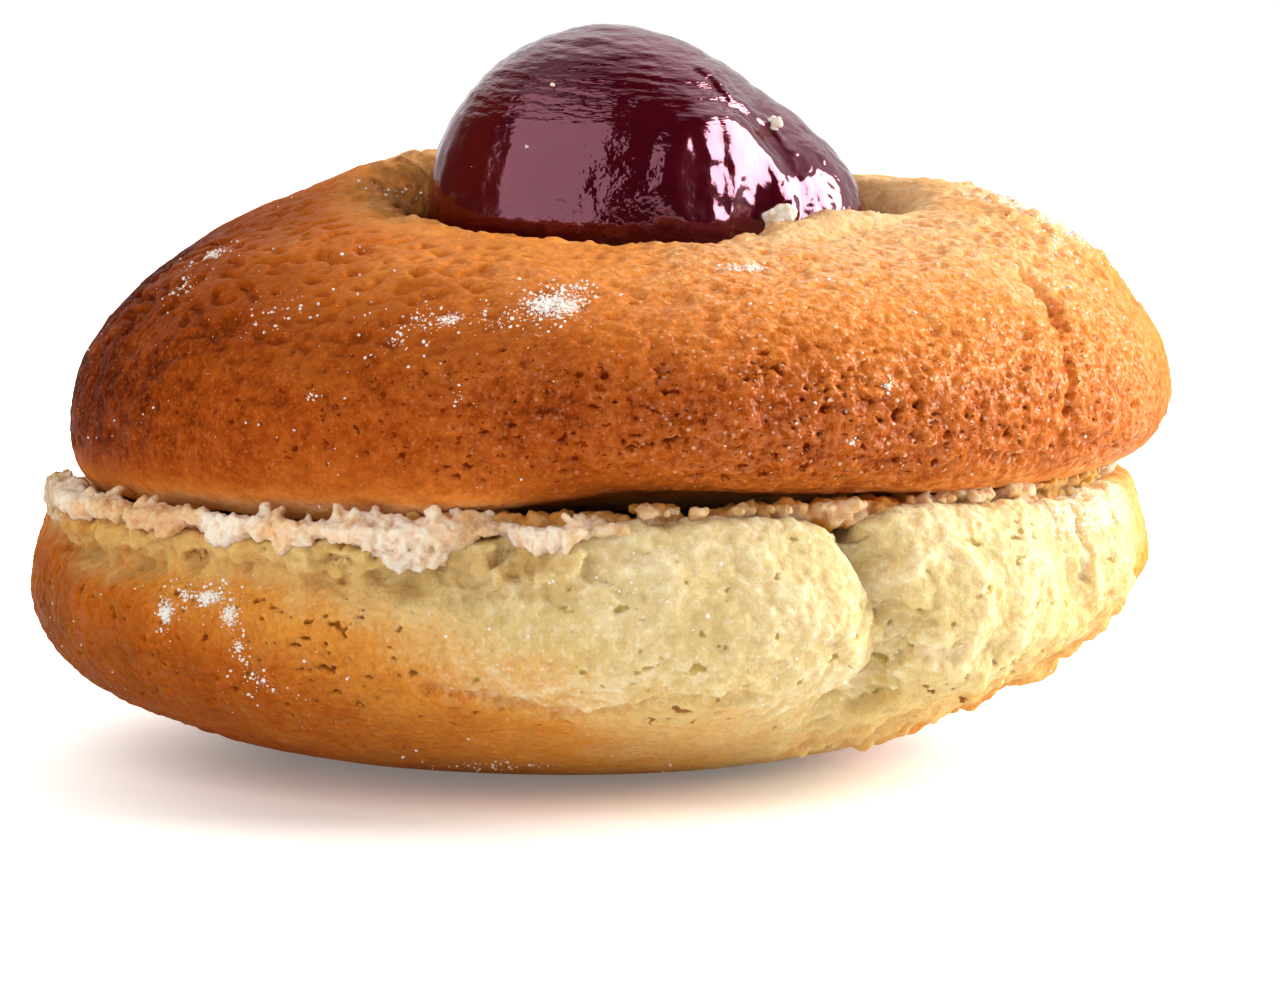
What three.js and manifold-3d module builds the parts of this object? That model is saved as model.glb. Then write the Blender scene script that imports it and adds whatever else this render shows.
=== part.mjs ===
// An almond biscuit sandwich: two domed biscuits laid base to base, and a candied cherry pressed into the upper one.
// Millimetres, +Z up. The origin is on the surface that it stands on, under the middle of the whole.
// Angles run round the biscuit from +X, so 0 is the right, 90 the back, 180 the left and 270 the front.
import * as THREE from "three";
import { ImprovedNoise } from "three/addons/math/ImprovedNoise.js";
import { mergeVertices } from "three/addons/utils/BufferGeometryUtils.js";
import Module from "manifold-3d";

// Driving dimensions
const upperRadius = 28.6; // half the width of the upper biscuit
const lowerRadius = 29.3; // half the width of the lower biscuit
const upperShift = 1.1; // how far the upper biscuit sits to the right of the lower one
const jointHeight = 13.4; // where the two flat bases meet
const baseGap = 0.3; // left between the two bases, and under the cherry
const wellFloor = 24.2; // the bottom of the well that the cherry sits in
const cherryTop = 37.65;
const footRadius = 9; // the flat spot that the lower biscuit rests on
const frontCrowding = 0.35; // how much closer the steps round a biscuit are at its broken front

// A value that runs smoothly round the biscuit through the given ones, spread evenly from the right
function around(angle, ...values) {
  const count = values.length;
  const turn = (THREE.MathUtils.euclideanModulo(angle, 2 * Math.PI) / (2 * Math.PI)) * count;
  const k = Math.floor(turn);
  const t = turn - k;
  const [a, b, c, d] = [-1, 0, 1, 2].map((step) => values[(k + step + count) % count]);
  return b + 0.5 * t * (c - a + t * (2 * a - 5 * b + 4 * c - d + t * (3 * (b - c) + d - a)));
}

const noise = new ImprovedNoise();

// Noise from -1 to 1 at a point, in lumps of about that size
function lumps(point, size, seed) {
  return noise.noise(point.x / size + seed, point.y / size - seed, point.z / size + 2 * seed);
}

// A quarter of a superellipse from the crown, where it is level, to the waist, where it is upright
function quarter(crown, waist, fullness, steps) {
  return Array.from({ length: steps + 1 }, (_, i) => {
    const turn = (i / steps) * (Math.PI / 2);
    return new THREE.Vector2(
      crown.x + (waist.x - crown.x) * Math.sin(turn) ** (2 / fullness),
      waist.y + (crown.y - waist.y) * Math.cos(turn) ** (2 / fullness),
    );
  });
}

// The same surface with its seam and poles merged, and without the triangles that have no area
function closed(geometry) {
  geometry.deleteAttribute("normal");
  geometry.deleteAttribute("uv");
  const merged = mergeVertices(geometry, 1e-3);
  const corners = merged.index.array;
  const kept = [];
  for (let i = 0; i < corners.length; i += 3) {
    const [a, b, c] = corners.slice(i, i + 3);
    if (a !== b && b !== c && c !== a) kept.push(a, b, c);
  }
  merged.setIndex(kept);
  merged.computeVertexNormals();
  return merged;
}

// A closed body from an outline that changes as it turns. outline(angle) lists [radius, height] points from
// the middle of the base, out and up to the middle of the top. relief(point, angle) is how far the surface
// stands proud there
function turned(outline, stepsAround, relief) {
  const geometry = new THREE.LatheGeometry(outline(0), stepsAround);
  const place = geometry.getAttribute("position");
  for (let i = 0; i <= stepsAround; i += 1) {
    const even = ((i % stepsAround) / stepsAround) * 2 * Math.PI;
    const angle = even - frontCrowding * Math.cos(even);
    const points = outline(angle);
    points.forEach((point, j) => {
      const before = points[Math.max(j - 1, 0)];
      const after = points[Math.min(j + 1, points.length - 1)];
      const facing = new THREE.Vector2(after.y - before.y, before.x - after.x).normalize();
      const at = new THREE.Vector3(point.x * Math.cos(angle), point.x * Math.sin(angle), point.y);
      const proud = point.x > 0 ? relief(at, angle) : 0;
      const radius = point.x + proud * facing.x;
      place.setXYZ(
        i * points.length + j,
        radius * Math.cos(angle),
        radius * Math.sin(angle),
        point.y + proud * facing.y,
      );
    });
  }
  return closed(geometry);
}

// How much of a mark on the side reaches a point, from 1 on its path to 0 at its width. The path is a row
// of [angle in degrees, height] pairs
function marked({ path, width }, point) {
  const corners = path.map(([degrees, height]) => {
    const angle = THREE.MathUtils.degToRad(degrees);
    return new THREE.Vector3(lowerRadius * Math.cos(angle), lowerRadius * Math.sin(angle), height);
  });
  const side = new THREE.Vector2(point.x, point.y).setLength(lowerRadius);
  const here = new THREE.Vector3(side.x, side.y, point.z);
  const nearest = new THREE.Vector3();
  const away = corners.slice(1).map((corner, i) => {
    new THREE.Line3(corners[i], corner).closestPointToPoint(here, true, nearest);
    return nearest.distanceTo(here);
  });
  return 1 - THREE.MathUtils.smoothstep(Math.min(...away), 0, width);
}

// The upper biscuit: a ring with a well in its top, domed over and curled in at its foot. The foot is arched
// up at the front
const upperSteps = 92;
const furrow = { path: [[327, 25.5], [322, 18]], width: 1.6, depth: 0.5 };

function upperOutline(angle) {
  const floor = new THREE.Vector2(around(angle, 13.2, 12, 9.4, 8.8, 9, 8.8, 8.8, 10.4), wellFloor);
  const wellEdge = new THREE.Vector2(floor.x + 1.8, wellFloor + 1.6);
  const rim = new THREE.Vector2(
    around(angle, 16.6, 15.4, 13.6, 12.6, 13, 13.2, 13.6, 15.2),
    around(angle, 28.8, 29.5, 29.9, 30, 29.1, 27.7, 27.1, 27.4),
  );
  const waist = new THREE.Vector2(
    upperRadius - around(angle, 0, 0.3, 0.6, 0.3, 0, 0.1, 0.3, 0.1),
    around(angle, 18.8, 19, 18.8, 18.4, 17.8, 18.6, 19.4, 19.2),
  );
  const arch = around(angle, 1.2, 1, 0.6, 0.4, 0.3, 0.2, 0.2, 0.1, 0, 0, 0.2, 0.3, 1.9, 1.7, 1.3, 1.2);
  const foot = new THREE.Vector2(
    upperRadius - around(angle, 5, 4.8, 4.6, 4.4, 3.6, 4.6, 5.2, 4.8),
    jointHeight + baseGap + arch,
  );
  const domeFullness = around(angle, 1.86, 1.75, 1.8, 1.68, 1.76, 1.85, 2, 1.9);
  const curlFullness = around(angle, 2, 2.3, 2.6, 3, 3.4, 2.8, 2.1, 2.1);
  return [
    new THREE.Vector2(0, jointHeight + baseGap),
    new THREE.Vector2(foot.x * 0.6, jointHeight + baseGap),
    ...quarter(foot, waist, curlFullness, 6),
    ...quarter(rim, waist, domeFullness, 10).reverse().slice(1),
    ...quarter(rim, wellEdge, 2, 4).slice(1),
    floor,
    floor.clone().multiplyScalar(0.5).setY(wellFloor),
    new THREE.Vector2(0, wellFloor),
  ];
}

function upperRelief(point) {
  const onSide = THREE.MathUtils.smoothstep(point.z, jointHeight + 1.5, jointHeight + 5);
  const outside = THREE.MathUtils.smoothstep(Math.hypot(point.x, point.y), 12, 18);
  const uneven = 0.35 * lumps(point, 9, 3) + 0.2 * lumps(point, 4, 7);
  return onSide * outside * (uneven - furrow.depth * marked(furrow, point));
}

// The lower biscuit: a dome turned over, with a torn lip at its base and its side burst open at the front
const lowerSteps = 132;
const lobes = [
  { middle: 281, halfWidth: 20, proud: 1.3 },
  { middle: 313, halfWidth: 16, proud: 1.4 },
  { middle: 338, halfWidth: 12, proud: 0.7 },
];
const cracks = [
  { path: [[297, 14], [299, 10.5], [302, 7.5], [299, 4.5]], width: 2, depth: 1.4 },
  { path: [[325, 14], [327, 10.5]], width: 1.6, depth: 0.8 },
];
const crustEdge = { path: [[297, 3], [309, 7], [327, 8.8], [338, 10]], width: 1.8, proud: 0.5 };

// How far the base's edge has torn away from the side: 1 where it stands off as a ragged lip
function torn(angle) {
  return around(angle, 0, 0, 0.1, 0.1, 0, 0.1, 0.1, 0, 0.1, 0.8, 1, 1, 0.5, 0.1, 0, 0);
}

function lowerOutline(angle) {
  const gape = torn(angle);
  const waist = new THREE.Vector2(
    lowerRadius - around(angle, 0.6, 0.6, 0.7, 0.2, -0.4, 0.3, 0.9, 0.9),
    around(angle, 10.4, 10, 9.4, 9, 8.6, 8.8, 9.4, 10.6),
  );
  const rise = around(angle, 1.4, 1, 0.4, 0.1, 0, 0, 0, 0.1, 0.4, 0.1, 0, 0.1, 0.9, 1.2, 1.2, 1.3);
  const lip = new THREE.Vector2(
    waist.x - 1 + around(angle, 0.2, 0, 0, 0, 0.2, 0.4, 0, 0),
    jointHeight + rise,
  );
  const foot = new THREE.Vector2(footRadius, 0);
  const bellyFullness = around(angle, 1.54, 1.8, 1.9, 2, 2.05, 2, 1.85, 1.65);
  return [
    new THREE.Vector2(0, 0),
    ...quarter(foot, waist, bellyFullness, 12),
    new THREE.Vector2(waist.x - 0.2, waist.y * 0.45 + (lip.y - 2.4) * 0.55),
    new THREE.Vector2(waist.x - 0.4 - 0.8 * gape, lip.y - 2.3),
    new THREE.Vector2(waist.x - 0.6 - 2.2 * gape, lip.y - 1.9),
    new THREE.Vector2(lip.x + 0.2 - 2.3 * gape, lip.y - 1.3),
    new THREE.Vector2(lip.x + 0.1 - 0.3 * gape, lip.y - 0.9),
    new THREE.Vector2(lip.x, lip.y - 0.4),
    new THREE.Vector2(lip.x - 0.8, lip.y),
    new THREE.Vector2(lip.x - 3.6, (lip.y + jointHeight) / 2),
    new THREE.Vector2(lip.x * 0.5, jointHeight),
    new THREE.Vector2(0, jointHeight),
  ];
}

function lowerRelief(point, angle) {
  const radius = Math.hypot(point.x, point.y);
  if (point.z > jointHeight - 0.1 && radius < 25) return 0;
  const degrees = THREE.MathUtils.radToDeg(angle);
  const height = Math.sin(Math.PI * THREE.MathUtils.clamp((point.z - 3) / (jointHeight - 1.5), 0, 1));
  const bulge = lobes.map((lobe) => {
    const across = (degrees - lobe.middle) / lobe.halfWidth;
    return lobe.proud * Math.max(0, 1 - across * across) * height;
  });
  const cut = cracks.map((crack) => crack.depth * marked(crack, point));
  const edge = crustEdge.proud * marked(crustEdge, point);
  const ragged = torn(angle) * THREE.MathUtils.smoothstep(point.z, jointHeight - 3.5, jointHeight - 1);
  const uneven = 0.3 * lumps(point, 8, 5) + 0.8 * ragged * lumps(point, 1.9, 11);
  const clearOfFloor = THREE.MathUtils.smoothstep(point.z, 0.2, 2);
  return clearOfFloor * (Math.max(...bulge) - Math.max(...cut) + edge + uneven);
}

// The cherry: a ball with a fold of skin and flesh drawn out to its right, squashed flat underneath
const cherryBase = wellFloor + baseGap;
const ball = { middle: [0.5, 0, 27.8], reach: [9.5, 9, cherryTop - 27.8] };
const tail = { middle: [4.6, 1.8, 26.4], reach: [9.5, 7.8, 7.8] };

// An egg-shaped lump whose lower half is pressed down onto the cherry's base
function pressed({ middle, reach }, stepsAround, stepsUp) {
  const geometry = new THREE.SphereGeometry(1, stepsAround, stepsUp).rotateX(Math.PI / 2);
  const place = geometry.getAttribute("position");
  const below = middle[2] - cherryBase;
  for (let i = 0; i < place.count; i += 1) {
    const z = place.getZ(i);
    place.setXYZ(
      i,
      middle[0] + reach[0] * place.getX(i),
      middle[1] + reach[1] * place.getY(i),
      middle[2] + (z > 0 ? reach[2] : below) * z,
    );
  }
  return closed(geometry);
}

const wasm = await Module();
wasm.setup();

function solid(geometry) {
  return new wasm.Manifold(new wasm.Mesh({
    numProp: 3,
    vertProperties: geometry.getAttribute("position").array,
    triVerts: new Uint32Array(geometry.index.array),
  }));
}

function joined(first, second) {
  const mesh = solid(first).add(solid(second)).getMesh();
  const geometry = new THREE.BufferGeometry();
  geometry.setAttribute("position", new THREE.BufferAttribute(mesh.vertProperties, 3));
  geometry.setIndex(new THREE.BufferAttribute(mesh.triVerts, 1));
  geometry.computeVertexNormals();
  return geometry;
}

function piece(name, geometry, color, roughness) {
  const mesh = new THREE.Mesh(geometry, new THREE.MeshStandardMaterial({ color, roughness, metalness: 0 }));
  mesh.name = name;
  return mesh;
}

const top = piece("top_biscuit", turned(upperOutline, upperSteps, upperRelief), 0xb06a30, 0.7);
top.position.x = upperShift;
const bottom = piece("bottom_biscuit", turned(lowerOutline, lowerSteps, lowerRelief), 0xd9a45e, 0.8);
const cherry = piece("cherry", joined(pressed(ball, 32, 18), pressed(tail, 28, 14)), 0x4a0d1a, 0.15);

// Everything is moved so that the origin is under the middle of the whole
const object = new THREE.Group();
object.add(top, bottom, cherry);
const middle = new THREE.Box3().setFromObject(object).getCenter(new THREE.Vector3());
for (const mesh of object.children) {
  mesh.position.x -= middle.x;
  mesh.position.y -= middle.y;
}

export default object;
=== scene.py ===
import math
import random
import bpy
import bmesh
from mathutils import Matrix, Vector, noise
from mathutils.bvhtree import BVHTree


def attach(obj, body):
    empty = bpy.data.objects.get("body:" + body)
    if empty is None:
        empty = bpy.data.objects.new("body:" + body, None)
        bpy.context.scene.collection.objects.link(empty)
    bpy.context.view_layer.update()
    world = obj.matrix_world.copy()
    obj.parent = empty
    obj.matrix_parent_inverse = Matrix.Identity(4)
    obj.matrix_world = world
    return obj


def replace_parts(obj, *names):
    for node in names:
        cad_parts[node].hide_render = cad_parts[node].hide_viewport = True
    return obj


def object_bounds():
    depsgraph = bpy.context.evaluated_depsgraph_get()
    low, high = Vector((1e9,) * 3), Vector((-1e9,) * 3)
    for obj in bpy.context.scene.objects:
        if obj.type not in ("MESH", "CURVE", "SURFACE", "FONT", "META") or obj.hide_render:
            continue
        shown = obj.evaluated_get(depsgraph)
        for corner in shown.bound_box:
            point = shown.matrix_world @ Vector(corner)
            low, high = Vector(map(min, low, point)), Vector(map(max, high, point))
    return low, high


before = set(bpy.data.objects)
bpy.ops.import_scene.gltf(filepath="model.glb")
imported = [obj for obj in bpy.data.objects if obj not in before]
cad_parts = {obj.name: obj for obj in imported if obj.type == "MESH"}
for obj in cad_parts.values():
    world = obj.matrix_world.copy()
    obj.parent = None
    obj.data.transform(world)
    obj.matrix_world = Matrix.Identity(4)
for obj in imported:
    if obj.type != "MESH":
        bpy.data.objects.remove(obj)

# Shapes are worked on in millimetres and brought to metres when a piece is finished.
# Angles go round the biscuit in degrees: 0 right, 90 back, 180 left, 270 front.

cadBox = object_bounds()
mm = 0.001


# helpers

def srgb(red, green, blue):
    return tuple(((c / 255 + 0.055) / 1.055) ** 2.4 if c > 10 else c / 255 / 12.92 for c in (red, green, blue)) + (1,)


def smooth(low, high, value):  # 0 below low, 1 above high
    t = min(max((value - low) / (high - low), 0), 1)
    return t * t * (3 - 2 * t)


def bell(value, middle, reach):  # 1 at the middle, 0 at its reach to either side
    return 1 - smooth(0, reach, abs(value - middle))


def apart(a, b):  # degrees between two angles
    return abs((a - b + 180) % 360 - 180)


def polar(angle, radius, height):
    turn = math.radians(angle)
    return Vector((radius * math.cos(turn), radius * math.sin(turn), height))


def angleOf(point):
    return math.degrees(math.atan2(point.y, point.x)) % 360


def rough(point, size, seed=0):  # noise from -1 to 1 in lumps of that size
    return noise.noise(point / size + Vector((seed, -seed, 2 * seed)))


def between(steps, angle):  # a value that runs round the biscuit through [angle, value] pairs
    for (a, low), (b, high) in zip(steps, steps[1:]):
        if a <= angle <= b:
            return low + (high - low) * smooth(a, b, angle)
    return steps[0][1] if angle < steps[0][0] else steps[-1][1]


def tabled(table, angle, height):  # reads a table of rows round the biscuit, each with a value at every height
    def column(values):
        heights = table["heights"]
        if height <= heights[0]:
            return values[0]
        for k in range(len(heights) - 1):
            if height <= heights[k + 1]:
                return values[k] + (values[k + 1] - values[k]) * (height - heights[k]) / (heights[k + 1] - heights[k])
        return values[-1]
    for (a, low), (b, high) in zip(table["rows"], table["rows"][1:]):
        if a <= angle <= b:
            share = smooth(a, b, angle)
            return column(low) * (1 - share) + column(high) * share
    return column(table["rows"][-1][1])


def castIn(tree, angle, height, unit=1):  # where a line in towards the upright middle meets a surface, in millimetres
    start = polar(angle, 60, height) * unit
    place, facing, _, _ = tree.ray_cast(start, (Vector((0, 0, start.z)) - start).normalized())
    return (place / unit, facing) if place else None


def cadCopy(node):
    form = bmesh.new()
    form.from_mesh(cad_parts[node].data)
    bmesh.ops.remove_doubles(form, verts=form.verts, dist=1e-6)
    bmesh.ops.scale(form, vec=(1 / mm,) * 3, verts=form.verts)
    return form


def reworked(form, voxel=None, smoothing=0, triangles=None):  # evened out to voxels, smoothed or thinned
    mesh = bpy.data.meshes.new("working")
    form.to_mesh(mesh)
    form.free()
    holder = bpy.data.objects.new("working", mesh)
    bpy.context.scene.collection.objects.link(holder)
    if voxel:
        even = holder.modifiers.new("even", "REMESH")
        even.mode, even.voxel_size = "VOXEL", voxel
    if smoothing:
        relax = holder.modifiers.new("relax", "SMOOTH")
        relax.factor, relax.iterations = 0.5, smoothing
    if triangles:
        thin = holder.modifiers.new("thin", "DECIMATE")
        thin.ratio = min(1, triangles / sum(len(p.vertices) - 2 for p in mesh.polygons))
    finished = bpy.data.meshes.new_from_object(holder.evaluated_get(bpy.context.evaluated_depsgraph_get()))
    bpy.data.objects.remove(holder)
    bpy.data.meshes.remove(mesh)
    result = bmesh.new()
    result.from_mesh(finished)
    bpy.data.meshes.remove(finished)
    return result


def marks(form, values):  # stores {name: function of a vertex} as attributes on the points
    layers = {name: form.verts.layers.float.new(name) for name in values}
    for vert in form.verts:
        for name, layer in layers.items():
            vert[layer] = values[name](vert)


def piece(name, form, material, shade=True):
    bmesh.ops.scale(form, vec=(mm,) * 3, verts=form.verts)
    for vert in form.verts:  # stays inside the box of the solids
        vert.co = [min(max(vert.co[k], cadBox[0][k]), cadBox[1][k]) for k in range(3)]
    mesh = bpy.data.meshes.new(name)
    form.to_mesh(mesh)
    form.free()
    if shade:
        mesh.polygons.foreach_set("use_smooth", [True] * len(mesh.polygons))
    mesh.materials.append(material)
    made = bpy.data.objects.new(name, mesh)
    bpy.context.scene.collection.objects.link(made)
    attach(made, "root")
    print(name, sum(len(p.vertices) - 2 for p in mesh.polygons), "triangles")
    return made


# the nodes of a material

class Look:
    def __init__(self, name):
        self.material = bpy.data.materials.new(name)
        self.material.use_nodes = True
        self.tree = self.material.node_tree
        self.shader = self.tree.nodes["Principled BSDF"]
        self.place = self.add("ShaderNodeTexCoord").outputs["Object"]

    def add(self, kind, inputs=None, **settings):
        node = self.tree.nodes.new(kind)
        for name, value in settings.items():
            setattr(node, name, value)
        for name, value in (inputs or {}).items():
            self.put(value, node.inputs[name])
        return node

    def put(self, value, socket):
        if isinstance(value, bpy.types.NodeSocket):
            self.tree.links.new(value, socket)
        else:
            socket.default_value = value

    def mark(self, name):
        return self.add("ShaderNodeAttribute", attribute_name=name).outputs["Fac"]

    def grain(self, size, detail=2, roughness=0.5, stretch=(1, 1, 1)):  # noise with lumps of that size in mm
        spot = self.add("ShaderNodeMapping", {"Vector": self.place, "Scale": stretch})
        return self.add("ShaderNodeTexNoise", {
            "Vector": spot.outputs[0], "Scale": 1 / (size * mm), "Detail": detail, "Roughness": roughness,
        }).outputs["Fac"]

    def cells(self, size):  # how far it is to the middle of the nearest cell, for cells of that size in mm
        return self.add("ShaderNodeTexVoronoi", {"Vector": self.place, "Scale": 1 / (size * mm)}).outputs["Distance"]

    def ranged(self, value, low, high, to=(0, 1)):
        return self.add("ShaderNodeMapRange", {
            "Value": value, "From Min": low, "From Max": high, "To Min": to[0], "To Max": to[1],
        }, interpolation_type="SMOOTHSTEP").outputs[0]

    def maths(self, operation, first, second=0.0):
        node = self.add("ShaderNodeMath", operation=operation)
        self.put(first, node.inputs[0])
        self.put(second, node.inputs[1])
        return node.outputs[0]

    def mixed(self, amount, first, second):
        node = self.add("ShaderNodeMix", data_type="RGBA")
        self.put(amount, node.inputs["Factor"])
        self.put(first, node.inputs["A"])
        self.put(second, node.inputs["B"])
        return node.outputs["Result"]

    def ramp(self, value, stops):
        node = self.add("ShaderNodeValToRGB", {"Fac": value})
        for k, (place, color) in enumerate(stops):
            stop = node.color_ramp.elements[k] if k < 2 else node.color_ramp.elements.new(place)
            stop.position, stop.color = place, color
        return node.outputs["Color"]

    def bumped(self, layers):  # [(height, millimetres), ...] one over the other
        normal = None
        for height, depth in layers:
            node = self.add("ShaderNodeBump", {"Height": height, "Strength": 1.0, "Distance": depth * mm})
            if normal:
                self.put(normal, node.inputs["Normal"])
            normal = node.outputs["Normal"]
        self.put(normal, self.shader.inputs["Normal"])
        self.put(normal, self.shader.inputs["Coat Normal"])


# crust and crumb

# pit and palePit are painted shade inside the pits; glint is a painted glint
crustLook = {
    "ramp": [(0.0, srgb(244, 196, 136)), (0.3, srgb(228, 142, 64)), (0.55, srgb(190, 101, 33)), (0.8, srgb(151, 65, 11)),
             (0.95, srgb(98, 32, 2)), (1.0, srgb(80, 22, 0))],
    "pit": srgb(124, 42, 2), "palePit": srgb(190, 92, 22), "glint": srgb(255, 228, 200), "stain": srgb(166, 114, 54),
    "bruise": srgb(112, 60, 46), "sugar": srgb(250, 240, 228), "fleck": srgb(226, 150, 84),
}


def crustMaterial():
    look = Look("crust")
    tone, pit, stain, sugar, pitting, coarse, relief = (
        look.mark(name) for name in ("tone", "pit", "stain", "sugar", "pitting", "coarse", "relief"))
    grit = look.grain(0.33, 3, 0.6)  # the same grains make the relief and a painted shade in the colour: lower grains darker, higher grains paler
    speckle = look.maths("MULTIPLY", look.ranged(grit, 0.3, 0.7, (1, -1)), look.ranged(coarse, 0.3, 1, (0.05, 0.11)))
    # painted shade from the relief: low places darker, raised places paler
    raised = look.maths("MULTIPLY", relief, look.ranged(coarse, 0.3, 1, (-0.06, -0.10)))
    color = look.ramp(look.maths("ADD", look.maths("ADD", tone, raised), speckle), crustLook["ramp"])
    fleck = look.maths("MULTIPLY", look.ranged(look.grain(0.2, 2), 0.56, 0.7), 0.2)
    color = look.mixed(fleck, color, crustLook["fleck"])
    # painted glints: pale dots mixed into the colour, most of them on the coarse right side
    seeds = look.maths("ADD", look.cells(0.4), look.ranged(look.grain(0.3, 2), 0.35, 0.65, (-0.09, 0.18)))
    glint = look.maths("MULTIPLY", look.ranged(seeds, 0.26, 0.14), look.ranged(look.grain(0.9, 2), 0.4, 0.55))
    glint = look.maths("MULTIPLY", glint, look.ranged(coarse, 0.35, 1, (0.02, 0.5)))
    color = look.mixed(glint, color, crustLook["glint"])
    marked = look.maths("MULTIPLY", stain, look.ranged(look.grain(1.2, 3), 0.35, 0.6, (0.25, 0.95)))
    color = look.mixed(marked, color, crustLook["stain"])
    bruised = look.maths("MULTIPLY", stain, look.ranged(look.grain(0.7, 3, 0.6), 0.54, 0.66, (0, 0.6)))
    color = look.mixed(bruised, color, crustLook["bruise"])
    # painted shade: pits and pores are coloured darker inside
    edge = look.maths("ADD", pit, look.ranged(look.grain(0.22, 2), 0.2, 0.8, (-0.2, 0.2)))
    opened = look.ranged(edge, 0.42, 0.62)
    pores = look.grain(0.42, 2, 0.5, stretch=(1, 1, 1.4))
    limit = look.ranged(pitting, 0, 1, (0.82, 0.65))
    pore = look.ranged(look.maths("SUBTRACT", pores, limit), 0, 0.05)
    inside = look.mixed(look.ranged(tone, 0.35, 0.7), crustLook["palePit"], crustLook["pit"])
    color = look.mixed(look.maths("MULTIPLY", look.maths("MAXIMUM", opened, pore), 0.88), color, inside)
    powder = look.maths("ADD", look.grain(0.16, 3, 0.7), look.maths("MULTIPLY", sugar, 0.4))
    white = look.maths("MULTIPLY", look.ranged(powder, 0.74, 0.82), look.ranged(sugar, 0, 0.12))
    look.put(look.mixed(white, color, crustLook["sugar"]), look.shader.inputs["Base Color"])
    dull = look.ranged(look.grain(0.6, 3), 0.3, 0.7, (0.5, 0.7))
    look.put(look.maths("SUBTRACT", dull, look.maths("MULTIPLY", coarse, 0.2)), look.shader.inputs["Roughness"])
    look.shader.inputs["Specular IOR Level"].default_value = 0.02
    shiny = look.maths("MULTIPLY", look.ranged(coarse, 0.35, 0.9, (0.0, 0.65)), look.ranged(grit, 0.42, 0.6))
    whole = look.maths("SUBTRACT", 1.0, look.maths("MAXIMUM", opened, pore))
    look.put(look.maths("MULTIPLY", shiny, whole), look.shader.inputs["Coat Weight"])
    look.shader.inputs["Coat Roughness"].default_value = 0.22
    look.shader.inputs["Subsurface Weight"].default_value = 0.12
    look.shader.inputs["Subsurface Radius"].default_value = (1.0, 0.45, 0.2)
    look.shader.inputs["Subsurface Scale"].default_value = 0.9 * mm
    grainy = look.maths("MULTIPLY", grit, look.ranged(coarse, 0.3, 1, (0.45, 1.1)))
    beaded = look.maths("MULTIPLY", look.cells(0.5), look.ranged(coarse, 0.3, 1, (-0.3, -1)))
    unbroken = look.maths("SUBTRACT", 1.0, pore)
    look.bumped([(grainy, 0.12), (beaded, 0.08), (look.grain(0.8, 2, 0.5), 0.14), (unbroken, 0.14)])
    return look.material


# several of these colours are painted shade or highlight: holes, pits, recesses, grain valleys and flake creases are
# darker, raised grains paler, and the crumb under the upper biscuit is tinted darker
crumbLook = {
    "ramp": [(0.0, srgb(226, 206, 154)), (0.13, srgb(225, 203, 144)), (0.25, srgb(227, 188, 122)),
             (0.45, srgb(217, 146, 58)), (0.7, srgb(180, 90, 12)), (1.0, srgb(112, 46, 0))],
    "pit": srgb(140, 66, 10), "hollow": srgb(194, 168, 84), "shadedCrumb": srgb(204, 167, 102), "flake": srgb(252, 234, 214),
    "peach": srgb(238, 190, 140), "grey": srgb(182, 146, 96), "sugar": srgb(252, 246, 234), "fleck": srgb(250, 240, 212),
    "recessShade": srgb(206, 178, 108), "deep": srgb(150, 78, 14), "shade": srgb(140, 100, 44), "crease": srgb(206, 142, 84),
}


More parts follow.
